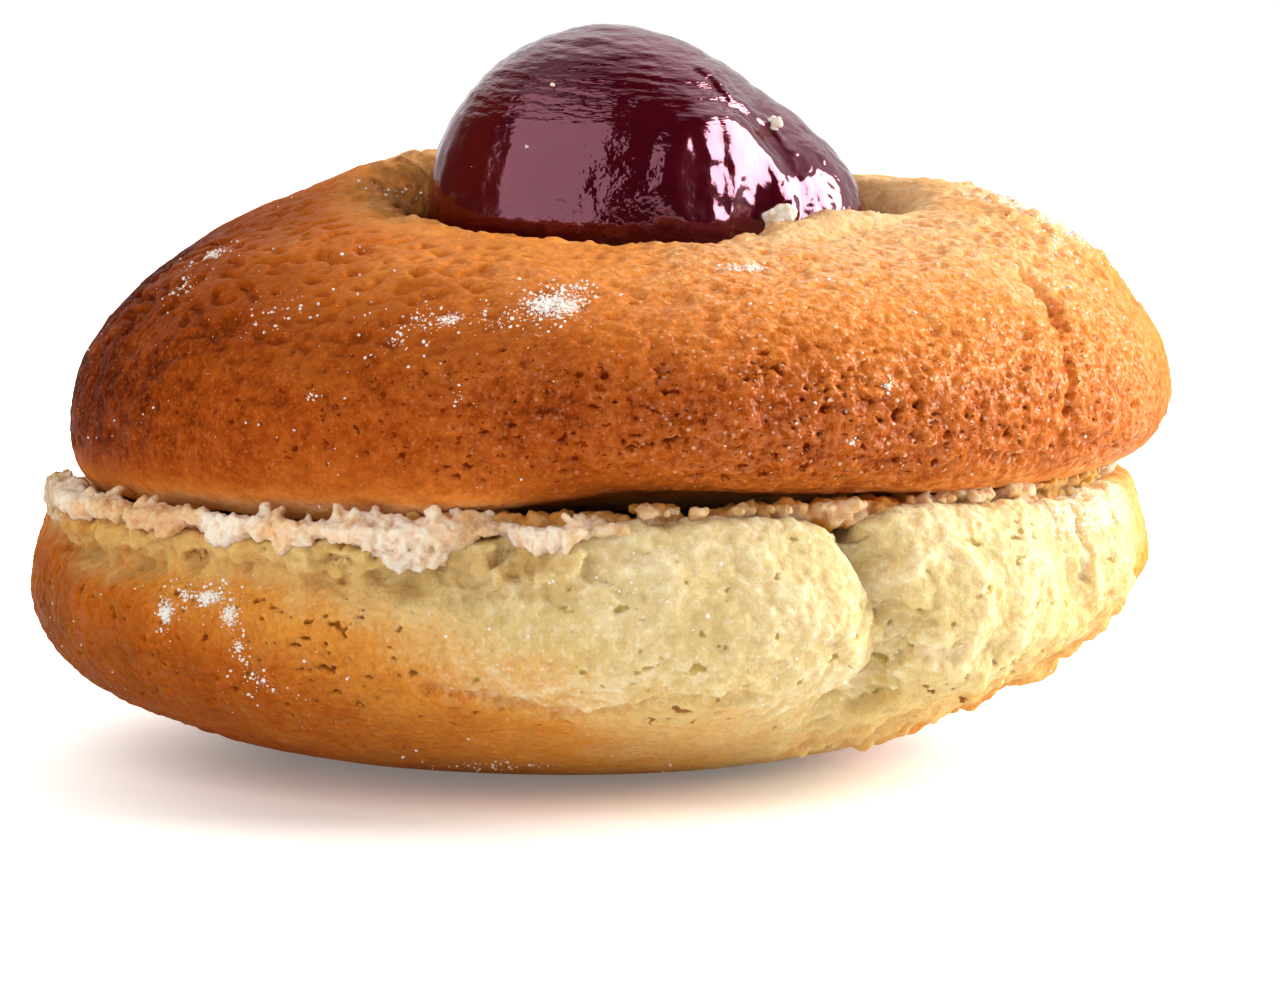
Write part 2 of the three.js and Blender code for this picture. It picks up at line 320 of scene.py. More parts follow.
def crumbMaterial():
    look = Look("crumb")
    tone, pit, shadedCrumb, flake, peach, grey, sugar, bare, relief = (
        look.mark(name) for name in ("tone", "pit", "shadedCrumb", "flake", "peach", "grey", "sugar", "bare", "relief"))
    speckle = look.ranged(look.grain(0.32, 3, 0.65), 0.3, 0.7, (-0.05, 0.05))
    color = look.ramp(look.maths("ADD", tone, speckle), crumbLook["ramp"])
    grit = look.grain(0.34, 3, 0.6)
    # painted highlight: the grains that the bump raises are paler on the bare crumb
    fleck = look.maths("MULTIPLY", look.ranged(grit, 0.5, 0.68), look.ranged(bare, 0, 1, (0.01, 0.45)))
    color = look.mixed(fleck, color, crumbLook["fleck"])
    # painted shade: the grain valleys are darker
    dent = look.maths("MULTIPLY", look.ranged(grit, 0.46, 0.3), look.ranged(bare, 0, 1, (0.22, 0.3)))
    color = look.mixed(dent, color, look.mixed(bare, crumbLook["deep"], crumbLook["recessShade"]))
    # painted shade: low places in the relief are darker
    recessShade = look.ranged(relief, 0.1, -0.9, (0, 1))
    color = look.mixed(look.maths("MULTIPLY", recessShade, look.ranged(bare, 0, 1, (0.12, 0.3))), color, crumbLook["recessShade"])
    # painted shade: darker still in the low places of the crumb under the upper biscuit
    color = look.mixed(look.maths("MULTIPLY", recessShade, look.maths("MULTIPLY", shadedCrumb, 0.75)), color, crumbLook["shade"])
    # painted highlight: raised places in the relief are paler
    high = look.ranged(relief, 0.1, 0.9, (0, 1))
    color = look.mixed(look.maths("MULTIPLY", high, look.ranged(bare, 0, 1, (0.02, 0.34))), color, crumbLook["fleck"])
    # patches of the crumb under the upper biscuit, tinted darker and olive as painted shade
    wet = look.maths("MULTIPLY", shadedCrumb, look.ranged(look.grain(1.0, 3), 0.3, 0.65, (0.3, 0.8)))
    color = look.mixed(wet, color, crumbLook["shadedCrumb"])
    # painted shade: holes are coloured darker inside
    opened = look.ranged(look.maths("ADD", pit, look.ranged(look.grain(0.22, 2), 0.2, 0.8, (-0.2, 0.2))), 0.36, 0.62)
    inside = look.mixed(bare, crumbLook["pit"], crumbLook["hollow"])
    color = look.mixed(look.maths("MULTIPLY", opened, 0.75), color, inside)
    rosy = look.ranged(look.maths("ADD", peach, look.ranged(look.grain(0.7, 3), 0.3, 0.7, (-0.25, 0.25))), 0.0, 1.1)
    flaky = look.mixed(rosy, crumbLook["flake"], crumbLook["peach"])
    # painted shade: the flakes' creases are darker
    flaky = look.mixed(look.ranged(relief, 0.2, -0.9, (0, 0.45)), flaky, crumbLook["crease"])
    color = look.mixed(flake, color, flaky)
    color = look.mixed(look.maths("MULTIPLY", grey, look.ranged(look.grain(0.8, 3), 0.35, 0.65, (0.5, 1))), color,
                       crumbLook["grey"])
    powder = look.maths("ADD", look.grain(0.16, 3, 0.7), look.maths("MULTIPLY", sugar, 0.44))
    white = look.maths("MULTIPLY", look.ranged(powder, 0.74, 0.82), look.ranged(sugar, 0, 0.12))
    look.put(look.mixed(white, color, crumbLook["sugar"]), look.shader.inputs["Base Color"])
    look.put(look.ranged(look.grain(0.5, 3), 0.3, 0.7, (0.4, 0.65)), look.shader.inputs["Roughness"])
    look.shader.inputs["Specular IOR Level"].default_value = 0.04
    look.shader.inputs["Subsurface Weight"].default_value = 0.6
    look.shader.inputs["Subsurface Radius"].default_value = (1.2, 0.95, 0.45)
    look.shader.inputs["Subsurface Scale"].default_value = 1.2 * mm
    look.bumped([(grit, 0.15), (look.cells(0.5), 0.12), (look.grain(0.16, 2, 0.6), 0.04)])
    return look.material


cherrySkin = [(0.0, srgb(60, 0, 12)), (0.5, srgb(72, 2, 10)), (1.0, srgb(84, 12, 2))]


def cherryMaterial():
    look = Look("candiedCherry")
    color = look.ramp(look.maths("ADD", look.mark("left"), look.ranged(look.grain(1.5, 3), 0.3, 0.7, (-0.2, 0.2))),
                      cherrySkin)
    look.put(color, look.shader.inputs["Base Color"])
    look.shader.inputs["Roughness"].default_value = 0.1
    look.shader.inputs["Specular IOR Level"].default_value = 1.0
    look.shader.inputs["IOR"].default_value = 1.62
    look.shader.inputs["Specular Tint"].default_value = (1, 0.42, 0.58, 1)
    look.shader.inputs["Subsurface Weight"].default_value = 0.1
    look.shader.inputs["Subsurface Radius"].default_value = (1.0, 0.1, 0.08)
    look.shader.inputs["Subsurface Scale"].default_value = 1.5 * mm
    creases = look.maths("MULTIPLY", look.grain(1.1, 3, 0.5), look.mark("wrinkled"))
    ripples = look.maths("MULTIPLY", look.grain(0.32, 2, 0.5, stretch=(0.28, 0.28, 1.2)), look.mark("rippled"))
    look.bumped([(creases, 0.22), (ripples, 0.12), (look.grain(0.9, 3, 0.55), 0.02)])
    return look.material


def sugarMaterial():
    look = Look("icingSugar")
    look.put(look.ramp(look.grain(0.6, 2), [(0.3, srgb(250, 244, 236)), (0.7, srgb(255, 252, 248))]),
             look.shader.inputs["Base Color"])
    look.shader.inputs["Roughness"].default_value = 0.7
    look.shader.inputs["Subsurface Weight"].default_value = 0.2
    look.shader.inputs["Subsurface Radius"].default_value = (0.6, 0.5, 0.4)
    look.shader.inputs["Subsurface Scale"].default_value = 0.4 * mm
    return look.material


def looseCrumbMaterial():
    look = Look("looseCrumb")
    look.put(look.ramp(look.grain(0.8, 3), [(0.35, srgb(252, 226, 200)), (0.65, srgb(255, 248, 236))]),
             look.shader.inputs["Base Color"])
    look.shader.inputs["Roughness"].default_value = 0.6
    look.shader.inputs["Subsurface Weight"].default_value = 0.3
    look.shader.inputs["Subsurface Radius"].default_value = (1, 0.7, 0.5)
    look.shader.inputs["Subsurface Scale"].default_value = 0.6 * mm
    look.bumped([(look.grain(0.2, 2), 0.04)])
    return look.material


# the upper biscuit

topBiscuit = {
    "middle": Vector((1.0, 0.2, 0)),
    "voxel": 0.2, "triangles": 192000,
    "waves": [(5.0, 0.16), (2.2, 0.09)],  # lump size and height
    "grains": [(1.1, 0.07), (0.6, 0.15), (0.42, 0.13)],
    "dimples": (1.25, 0.55, 0.34), "pitDepth": 0.38,
    # how brown the crust is at these heights, round the biscuit, with painted shade making the far left darkest
    "browningAndShade": {
        "heights": [14.5, 17, 20, 23, 26, 29],
        "rows": [
            (0, [0.45, 0.55, 0.5, 0.38, 0.24, 0.14]), (45, [0.5, 0.6, 0.55, 0.4, 0.2, 0.1]),
            (90, [0.55, 0.68, 0.68, 0.55, 0.35, 0.2]), (140, [0.6, 0.78, 0.82, 0.75, 0.6, 0.4]),
            (180, [0.9, 1.08, 1.1, 1.08, 1.0, 0.66]), (200, [0.78, 0.95, 0.98, 0.94, 0.84, 0.5]),
            (220, [0.62, 0.85, 0.9, 0.85, 0.68, 0.42]), (240, [0.52, 0.74, 0.82, 0.74, 0.52, 0.35]),
            (265, [0.48, 0.72, 0.82, 0.68, 0.42, 0.27]), (285, [0.46, 0.72, 0.76, 0.56, 0.33, 0.18]),
            (300, [0.45, 0.7, 0.68, 0.48, 0.25, 0.1]), (315, [0.44, 0.64, 0.6, 0.42, 0.22, 0.1]),
            (335, [0.42, 0.56, 0.48, 0.36, 0.24, 0.12]), (360, [0.45, 0.55, 0.5, 0.38, 0.24, 0.14]),
        ],
    },
    "pitting": [(0, 0.6), (60, 0.5), (120, 0.55), (175, 0.5), (205, 0.5), (228, 0.65), (248, 0.85), (300, 1.0),
                (325, 0.85), (345, 0.45), (360, 0.6)],
    "coarseness": [(0, 0.5), (90, 0.4), (180, 0.3), (235, 0.35), (265, 0.55), (290, 0.95), (330, 1.0), (350, 0.6),
                   (360, 0.5)],
    "cracks": [
        {"path": [(331, 25.2), (330, 24.2), (327.5, 23.2)], "width": 0.55, "depth": 0.55},
        {"path": [(325.5, 21.6), (324.6, 20.6), (323.4, 19.2)], "width": 0.45, "depth": 0.5},
        {"path": [(276.6, 22.0), (276.0, 21.4)], "width": 0.3, "depth": 0.35},
    ],
    "sugar": [(264, 24.8, 0.9, 0.45), (251, 24.1, 0.5, 0.25), (290, 26.3, 0.7, 0.2),
              (197, 26.1, 0.8, 0.25), (203, 24.8, 0.4, 0.25), (75, 27, 1.5, 0.8), (140, 24, 0.9, 0.5)],
}


def alongPath(path, point, radius):  # how near a point on the side lies to a path of (angle, height) pairs
    best = 1e9
    here = Vector((point.x, point.y, 0)).normalized() * radius
    here.z = point.z
    for first, second in zip(path, path[1:]):
        a, b = polar(first[0], radius, first[1]), polar(second[0], radius, second[1])
        t = min(max((here - a).dot(b - a) / (b - a).length_squared, 0), 1)
        best = min(best, (here - a.lerp(b, t)).length)
    return best


def nearCracks(cracks, point, angle):  # how deep the cracks cut at a point
    depth = 0
    for crack in cracks:
        path = crack["path"]
        if min(a for a, _ in path) - 6 < angle < max(a for a, _ in path) + 6:
            away = alongPath(path, point, 28.5) + 0.5 * crack["width"] * (rough(point, 1.1, 23) + rough(point, 0.5, 4))
            depth = max(depth, crack["depth"] * (1 - smooth(0.15 * crack["width"], crack["width"], away)))
    return depth


def powdered(patches, angle, height):  # how thick the icing sugar lies
    best = 0
    for middle, level, wide, tall in patches:
        across = math.radians(apart(angle, middle)) * 27 / wide
        best = max(best, 1 - math.hypot(across, (height - level) / tall) / 2.2)
    return best


def tornField(point, flatness, size, seed):  # ragged patches, wider than tall
    flat = Vector((point.x, point.y, point.z * flatness))
    coarse = noise.noise(flat / size + Vector((seed, 1, 2)))
    return coarse + 0.45 * noise.noise(flat / (size * 0.45) + Vector((1, seed, 3)))


def topShape():
    form = reworked(cadCopy("top_biscuit"), voxel=0.4, smoothing=14)
    form = reworked(form, voxel=topBiscuit["voxel"], smoothing=1)
    form.normal_update()
    pits, relief = {}, {}
    for vert in form.verts:
        p = vert.co.copy()
        middle = p - topBiscuit["middle"]
        radius = math.hypot(middle.x, middle.y)
        if (p.z < 15 and radius < 22) or (radius < 8 and p.z < 25):
            continue
        angle = angleOf(middle)
        band = smooth(15.2, 17.2, p.z)  # the curled foot is smoother
        coarse = between(topBiscuit["coarseness"], angle)
        amount = sum(height * rough(p, size, 3 * size) for size, height in topBiscuit["waves"])
        grains = sum(height * rough(p, size, 5 * size) for size, height in topBiscuit["grains"])
        amount += (0.25 + 0.75 * band) * coarse * grains * (1 - 0.35 * smooth(22, 26, p.z))
        leftUp = smooth(21.5, 23.5, p.z) * (1 - smooth(20, 45, apart(angle, 218))) * smooth(15, 17, radius)
        wide, tall, depth = topBiscuit["dimples"]  # stretched dimples, strongest at the upper left
        turn = math.radians(angle)
        dimple = noise.noise(Vector((turn * 27 / wide, radius / (1.5 * tall), p.z / tall)))
        dent = (0.45 + 0.75 * leftUp) * smooth(0.0, 0.55, dimple) * smooth(14, 16, radius) * band
        amount -= depth * dent
        # the relief is kept so that the colour can paint shade and highlight
        relief[vert.index] = max(-1, min(1, grains / 0.13 * (1 - 0.5 * smooth(21, 25, p.z)) - 1.3 * dent))
        if radius < 15.5:  # the wet, lumpy well and its ragged brim
            wet = smooth(15.5, 13, radius)
            amount += wet * (0.36 * rough(p, 1.3, 5) + 0.3 * max(0, rough(p, 0.7, 9)) + 0.12 * rough(p, 0.42, 12))
        amount += 0.85 * bell(angle, 145, 50) * bell(radius, 13.0, 5)  # the raised brim behind the cherry, left
        amount += 1.9 * (1 - smooth(35, 80, apart(angle, 8))) * (1 - smooth(12.5, 16.5, radius)) * smooth(7, 9, radius)
        ragged = smooth(23.5, 25.5, p.z) * (1 - smooth(22, 45, apart(angle, 10))) * smooth(17, 19, radius)
        amount += ragged * (0.34 * rough(p, 0.9, 51) + 0.26 * rough(p, 0.5, 52))
        amount -= nearCracks(topBiscuit["cracks"], p, angle)
        if p.z > 15.6 and radius > 14.5:
            likely = between(topBiscuit["pitting"], angle)
            likely *= smooth(15.6, 16.8, p.z) * (1 - 0.85 * smooth(22, 24.5, p.z))
            threshold = 0.95 - 0.45 * likely - 0.22 * rough(p, 2.6, 41)
            field = 0.5 + 3.2 * (tornField(p, 1.7, 0.6, 3) - threshold)
            if field > 0:
                pits[vert.index] = min(field, 1)
                amount -= topBiscuit["pitDepth"] * smooth(0.3, 0.95, field)
        vert.co = p + vert.normal * amount
    return form, pits, relief


def topTones(form, pits, relief):
    def where(vert):
        middle = vert.co - topBiscuit["middle"]
        return angleOf(middle), math.hypot(middle.x, middle.y), vert.co.z

    def tone(vert):
        angle, radius, z = where(vert)
        value = tabled(topBiscuit["browningAndShade"], angle, z)
        value += 0.07 * rough(vert.co, 4.5, 61) + 0.05 * rough(vert.co, 1.6, 62) - 0.05
        value -= 0.5 * bell(z, 14.3, 1.9)  # the pale line at the curled foot, paler still as painted light on its downward-facing underside
        # paler inside the well at the back-left; at the right the paler tone is painted light on a wall that faces away
        # from the lamps
        value -= 0.22 * (1 - smooth(13, 17, radius)) * (1 - smooth(50, 90, apart(angle, 165)))
        value -= 0.3 * (1 - smooth(14, 17, radius)) * (1 - smooth(40, 80, apart(angle, 5)))
        return min(max(value, 0.0), 1)

    def stain(vert):
        angle, radius, z = where(vert)
        wide = 13.4 + 1.8 * (1 - smooth(20, 70, apart(angle, 10))) + 1.0 * (1 - smooth(20, 50, apart(angle, 185)))
        near = 1 - smooth(wide - 1.6, wide + 0.6, radius + rough(vert.co, 2, 7))
        # the stain thins towards the right wall of the well, part of the painted light there
        return 0.85 * near * (0.55 + 0.45 * smooth(30, 85, apart(angle, 5)))

    def film(vert):
        angle, radius, z = where(vert)
        return bell(z, 27.4, 3.2) * (1 - smooth(12, 30, apart(angle, 16))) * smooth(16, 18.5, radius)

    def sugar(vert):
        angle, radius, z = where(vert)
        return max(0.85 * film(vert), powdered(topBiscuit["sugar"], angle, z), 0)

    marks(form, {
        "tone": tone, "stain": stain, "sugar": sugar,
        "pitting": lambda vert: between(topBiscuit["pitting"], where(vert)[0]) * smooth(15.4, 17, vert.co.z)
        * smooth(14, 15.5, where(vert)[1]) * (1 - smooth(22, 24, vert.co.z)),
        "coarse": lambda vert: between(topBiscuit["coarseness"], where(vert)[0]),
        "pit": lambda vert: pits.get(vert.index, 0), "relief": lambda vert: relief.get(vert.index, 0),
    })


def makeTop(material):
    form, pits, relief = topShape()
    topTones(form, pits, relief)
    form = reworked(form, triangles=topBiscuit["triangles"])
    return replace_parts(piece("topBiscuit", form, material), "top_biscuit")


# the lower biscuit

bottomBiscuit = {
    "voxel": 0.2, "triangles": 192000,
    # crust against pale crumb at these heights, round the biscuit, with painted shade making the far left darkest
    "browningAndShade": {
        "heights": [1.5, 4, 7, 10, 12.5],
        "rows": [
            (0, [0.6, 0.6, 0.6, 0.5, 0.4]), (90, [0.65, 0.7, 0.7, 0.6, 0.5]), (170, [0.75, 0.85, 0.85, 0.8, 0.6]),
            (200, [0.78, 0.86, 0.92, 0.86, 0.62]), (215, [0.7, 0.76, 0.8, 0.65, 0.35]),
            (230, [0.64, 0.7, 0.72, 0.52, 0.25]), (240, [0.6, 0.65, 0.62, 0.4, 0.2]),
            (252, [0.56, 0.58, 0.45, 0.24, 0.1]), (262, [0.5, 0.5, 0.28, 0.1, 0.04]),
            (272, [0.4, 0.32, 0.12, 0.05, 0.02]), (285, [0.36, 0.24, 0.1, 0.03, 0]), (297, [0.26, 0.16, 0.08, 0.02, 0]),
            (306, [0.24, 0.14, 0.07, 0.03, 0]), (318, [0.28, 0.2, 0.13, 0.05, 0]), (330, [0.34, 0.28, 0.22, 0.1, 0.02]),
            (342, [0.5, 0.46, 0.44, 0.3, 0.12]), (351, [0.62, 0.6, 0.6, 0.5, 0.35]), (360, [0.64, 0.66, 0.66, 0.58, 0.5]),
        ],
    },
    "cracks": [
        {"path": [(297.5, 14.2), (299.1, 13), (300.6, 10.5), (303.3, 8.4), (302, 6.8), (303.2, 5.1)],
         "width": 1.2, "depth": 0.9},
        {"path": [(303.3, 8.4), (306, 7.6), (309, 7.4)], "width": 0.6, "depth": 0.6},
        {"path": [(331, 14), (330.8, 13.3), (330, 11.5), (329.2, 10.4)], "width": 0.5, "depth": 0.45},
        {"path": [(252.9, 6.4), (259, 5.9), (266.1, 5.2), (273, 5.6), (280.5, 6.0), (286, 5.9)],
         "width": 0.5, "depth": 0.5},
    ],
    # heights where the crumb tinted as painted shade begins under the lip
    "shadedCrumb": [(185, 12.0), (198, 11.2), (205, 10.2), (214, 10.4), (223, 11.1), (238, 11.2), (250, 10.6), (262, 11)],
    "sugar": [(227.4, 10.2, 0.6, 0.25), (222, 9.3, 0.4, 0.4), (230.5, 9.6, 0.4, 0.4), (100, 9, 0.9, 0.5)],
}


def bareCrumb(angle, z):  # 1 where the side has burst open to the pale crumb
    front = smooth(243, 268, angle) if angle < 300 else 1 - smooth(340, 349, angle)
    low = between([(240, 7), (266, 5.4), (281, 6.1), (298, 3.6), (307, 6.6), (328, 8.6), (345, 10.6), (355, 12)], angle)
    return front * smooth(low - 0.9, low + 0.5, z)


class Lumps:  # many small lumps, made a hundred at a time because bmesh slows down as a form grows
    def __init__(self, draw, form=None):
        self.draw, self.form, self.part, self.count = draw, form or bmesh.new(), bmesh.new(), 0

    def add(self, place, size, subdivisions=1):
        draw = self.draw
        turn = Matrix.Rotation(draw.uniform(0, 6.28), 4, Vector((draw.random(), draw.random(), draw.random() + 0.1)))
        squash = Matrix.Diagonal((draw.uniform(0.8, 1.3), draw.uniform(0.8, 1.2), draw.uniform(0.65, 1), 1))
        bmesh.ops.create_icosphere(
            self.part, subdivisions=subdivisions, radius=size, matrix=Matrix.Translation(place) @ turn @ squash)
        self.count += 1
        if self.count % 100 == 0:
            self.pour()

    def pour(self):
        mesh = bpy.data.meshes.new("lumps")
        self.part.to_mesh(mesh)
        self.part.free()
        self.form.from_mesh(mesh)
        bpy.data.meshes.remove(mesh)
        self.part = bmesh.new()
        return self.form


def bottomShape():
    form = reworked(cadCopy("bottom_biscuit"), voxel=0.4, smoothing=12)
    draw = random.Random(5)
    tree = BVHTree.FromBMesh(form)
    lumps = Lumps(draw, form)
    for k in range(520):  # crumb torn loose under the lip, left
        angle = draw.uniform(198, 268)
        low = between([(190, 12.4), (205, 11.6), (225, 11.2), (245, 11.4), (268, 11.8)], angle)
        place, facing = castIn(tree, angle, draw.uniform(low, 12.9))
        lumps.add(place + facing * draw.uniform(-0.35, 0.2), draw.uniform(0.25, 0.8), 2)
    form = reworked(lumps.pour(), voxel=bottomBiscuit["voxel"], smoothing=1)
    form.normal_update()
    pits, relief = {}, {}
    for vert in form.verts:
        p = vert.co.copy()
        radius = math.hypot(p.x, p.y)
        if p.z < 0.6 or (radius < 22 and p.z > 12.5):
            continue
        angle = angleOf(p)
        crumb = bareCrumb(angle, p.z)
        torn = 0
        if 190 < angle < 276:
            torn = smooth(10.8, 11.8, p.z) * (1 - smooth(262, 275, angle)) * smooth(190, 200, angle)
        broken = max(crumb, torn)
        amount = 0.12 * rough(p, 5, 4)
        lumps = 0.34 * crumb * (0.5 - 2 * abs(rough(p, 3.6, 9))) + 0.12 * crumb * (0.5 - 2 * abs(rough(p, 1.7, 10)))
        shelf = smooth(292, 304, angle) * (1 - smooth(3, 9.5, p.z - (angle - 300) / 12)) * (1 - smooth(345, 358, angle))
        lumps += 0.6 * shelf * (0.8 * rough(p, 2.2, 12) + 0.6 * rough(p, 1.2, 13) + 0.5 * rough(p, 0.7, 14))
        lumps += (0.07 + 0.04 * crumb + 0.12 * torn) * rough(p, 1.0, 17) + (0.09 + 0.05 * broken) * rough(p, 0.58, 19)
        lumps += (0.05 + 0.05 * broken) * rough(p, 0.38, 20)
        # the relief is kept so that the colour can paint shade and highlight
        relief[vert.index] = max(-1, min(1, lumps / (0.12 + 0.18 * broken)))
        amount += lumps
        amount -= nearCracks(bottomBiscuit["cracks"], p, angle)
        field = 0
        if torn:  # hollows under the lip, which the pit mark darkens as painted shade
            hollow = smooth(0.06, 0.3, tornField(p, 1.0, 1.9, 71) - 0.25 * abs(p.z - 12.0))
            amount -= 0.65 * hollow * torn
            field = 0.45 * hollow * torn
        if p.z < 14:
            likely = 0.8 * crumb if crumb > 0.3 else 1.0 * smooth(2.5, 4.5, p.z) * (1 - smooth(10.2, 11, p.z))
            threshold = 0.95 - 0.42 * likely - 0.22 * rough(p, 2.6, 43)
            hole = 0.5 + 3.0 * (tornField(p, 1.4 if crumb > 0.3 else 1.8, 0.85 if crumb > 0.3 else 0.7, 5) - threshold)
            if hole > 0:
                field = max(field, min(hole, 1))
                amount -= (0.2 if crumb > 0.3 else 0.34) * smooth(0.3, 0.95, hole)
        if field > 0:
            pits[vert.index] = field
        vert.co = p + vert.normal * amount * smooth(0.6, 2.2, p.z)
    return form, pits, relief


def bottomTones(form, pits, relief):
    def tone(vert):
        p = vert.co
        value = tabled(bottomBiscuit["browningAndShade"], angleOf(p), p.z)
        return min(max(value + 0.08 * rough(p, 3.5, 61) + 0.05 * rough(p, 1.4, 62), 0), 1)

    def shadedCrumb(vert):
        p = vert.co
        angle = angleOf(p)
        if 185 < angle < 275:
            low = between(bottomBiscuit["shadedCrumb"], angle)  # the crumb tinted as painted shade starts at this height
            return smooth(low - 0.6, low + 0.6, p.z + 0.5 * rough(p, 1.6, 5)) * (1 - smooth(262, 275, angle))
        # elsewhere the top of the lower biscuit under the upper one gets half of that painted shade
        return 0.5 * smooth(12.2, 13.2, p.z) * (0 if 275 <= angle < 350 else 1)

    def sugar(vert):
        p = vert.co
        angle = angleOf(p)
        frost = 0.55 * (1 - smooth(6, 20, apart(angle, 336))) * smooth(11.5, 13, p.z)
        return max(frost, powdered(bottomBiscuit["sugar"], angle, p.z), 0)

    marks(form, {
        "tone": tone, "shadedCrumb": shadedCrumb, "sugar": sugar, "bare": lambda vert: bareCrumb(angleOf(vert.co), vert.co.z),
        "pit": lambda vert: pits.get(vert.index, 0), "relief": lambda vert: relief.get(vert.index, 0),
    })


def makeBottom(material):
    form, pits, relief = bottomShape()
    bottomTones(form, pits, relief)
    form = reworked(form, triangles=bottomBiscuit["triangles"])
    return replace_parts(piece("bottomBiscuit", form, material), "bottom_biscuit")


# flakes on the torn lip, and crumbs caught between the biscuits

tornFlakes = {
    "voxel": 0.12,
    # how low the flakes hang, and how much of the lip they cover
    "lip": [(181, 12.9), (192, 13.3), (198, 13.7), (204, 13.3), (210, 13.6), (218, 13.3), (221, 13.0), (223.5, 13.8),
            (225.5, 13.7), (227, 12.9), (229.5, 12.8), (231.5, 13.5), (234, 13.4), (237, 12.8), (239.5, 13.2),
            (242, 13.6), (244, 13.6), (246, 13.1), (248, 12.6), (250, 11.9), (252.5, 12.3), (255, 13.0),
            (257, 13.8), (259.5, 14.0), (261.5, 13.5), (264.5, 13.0), (267, 13.5), (269, 14.1), (272, 14.3), (276, 14.3)],
    "peach": [(181, 0), (200, 0.1), (206, 0.6), (213, 0.9), (221, 1.0), (224, 0.8), (226.5, 0.2), (230, 0.0), (232, 0.3),
              (236, 0.8), (240, 0.6), (243, 0.4), (246, 0.5), (249, 0.1), (252, 0.3), (256, 0.7), (262, 0.2), (272, 0.5)],
    "grey": [(181, 1), (192, 0.9), (197, 0.35), (203, 0.05), (212, 0.2), (224, 0.25), (227, 0), (254, 0), (257, 0.7),
             (261, 0.3), (264, 0), (268, 0.3), (271, 0.8), (276, 0.9)],
}


def makeFlakes(material, surfaces):
    draw = random.Random(17)
    lumps = Lumps(draw)
    tree = BVHTree.FromObject(surfaces["bottom"], bpy.context.evaluated_depsgraph_get())
    for k in range(4600):
        angle = draw.uniform(181, 274)
        low = between(tornFlakes["lip"], angle) + 0.35 * noise.noise(Vector((angle / 1.3, 0, 3)))
        low += 0.3 * noise.noise(Vector((angle / 0.5, 0, 8)))
        if low > 14.3:
            continue
        inward = 1.4 * draw.random() ** 1.2
        z = draw.uniform(low + 0.12, 14.2 + 0.1 * inward)
        place, facing = castIn(tree, angle, min(z, 12.9), mm)
        size = draw.uniform(0.12, 0.34)
        out = 0.25 - inward + 0.14 * noise.noise(Vector((angle / 2.2, z, 5)))
        place = Vector((place.x, place.y, max(z, place.z))) + facing * out
        if math.hypot(place.x, place.y) + size > 29.3 or (angle < 195 and math.hypot(place.x, place.y) + size > 28.9):
            continue
        lumps.add(place, size)
    for k in range(460):  # a ridge right under the upper biscuit
        angle = draw.uniform(184, 266)
        place, facing = castIn(tree, angle, 12.9, mm)
        lumps.add(Vector((place.x, place.y, draw.uniform(13.8, 14.1))) + facing * draw.uniform(-1.2, -0.3),
                  draw.uniform(0.22, 0.36))
    for k in range(150):  # the bigger grey lumps at the far left
        angle = draw.uniform(183, 195)
        spot = polar(angle, draw.uniform(26.8, 28.5), draw.uniform(12.6, 14.4))
        lumps.add(spot, draw.uniform(0.3, 0.5))
    form = reworked(lumps.pour(), voxel=tornFlakes["voxel"], smoothing=3)
    form.normal_update()
    relief = {}
    for vert in form.verts:
        p = vert.co
        lump = 0.06 * rough(p, 0.6, 3) + 0.06 * rough(p, 0.32, 6) + 0.05 * rough(p, 0.2, 7)
        # the relief is kept so that the colour can paint shade in the creases
        relief[vert.index] = max(-1, min(1, lump / 0.08))
        vert.co = p + vert.normal * lump
    marks(form, {
        "flake": lambda vert: 1.0, "relief": lambda vert: relief[vert.index],
        "peach": lambda vert: between(tornFlakes["peach"], angleOf(vert.co)) + 0.2 * rough(vert.co, 1.1, 8),
        "grey": lambda vert: between(tornFlakes["grey"], angleOf(vert.co)),
    })
    return piece("tornFlakes", form, material)


gapCrumbs = {
    # (angle, spread, how far they hang, lumps, size, greyness): little heaps under the edge of the upper biscuit
    "heaps": [(275.6, 0.8, 0.9, 16, 0.42, 0.8), (278.2, 0.5, 0.5, 5, 0.3, 0.9), (280.6, 0.6, 0.6, 8, 0.34, 0.8),
              (285.5, 1.6, 0.35, 8, 0.24, 1.0), (291, 1.4, 0.5, 9, 0.3, 1.0), (295.2, 0.8, 1.1, 14, 0.4, 0.8),
              (297.6, 1.0, 1.5, 26, 0.45, 0.6), (299.6, 0.6, 0.6, 8, 0.3, 0.8), (309, 1.5, 0.4, 10, 0.26, 0.6),
              (314, 1.5, 0.5, 14, 0.3, 0.4), (319, 1.6, 0.7, 20, 0.33, 0.35), (324, 1.5, 0.6, 16, 0.35, 0.25),
              (347, 2, 0.5, 14, 0.3, 0.2)],
    # (angle, radius, height, size): round lumps of sugar at the right
    "balls": [(328, 25.5, 14.1, 0.5), (331, 25.6, 14.2, 0.75), (335, 25.9, 14.2, 0.6), (339, 25.9, 14.35, 0.7),
              (343, 25.7, 14.4, 0.5)],
}


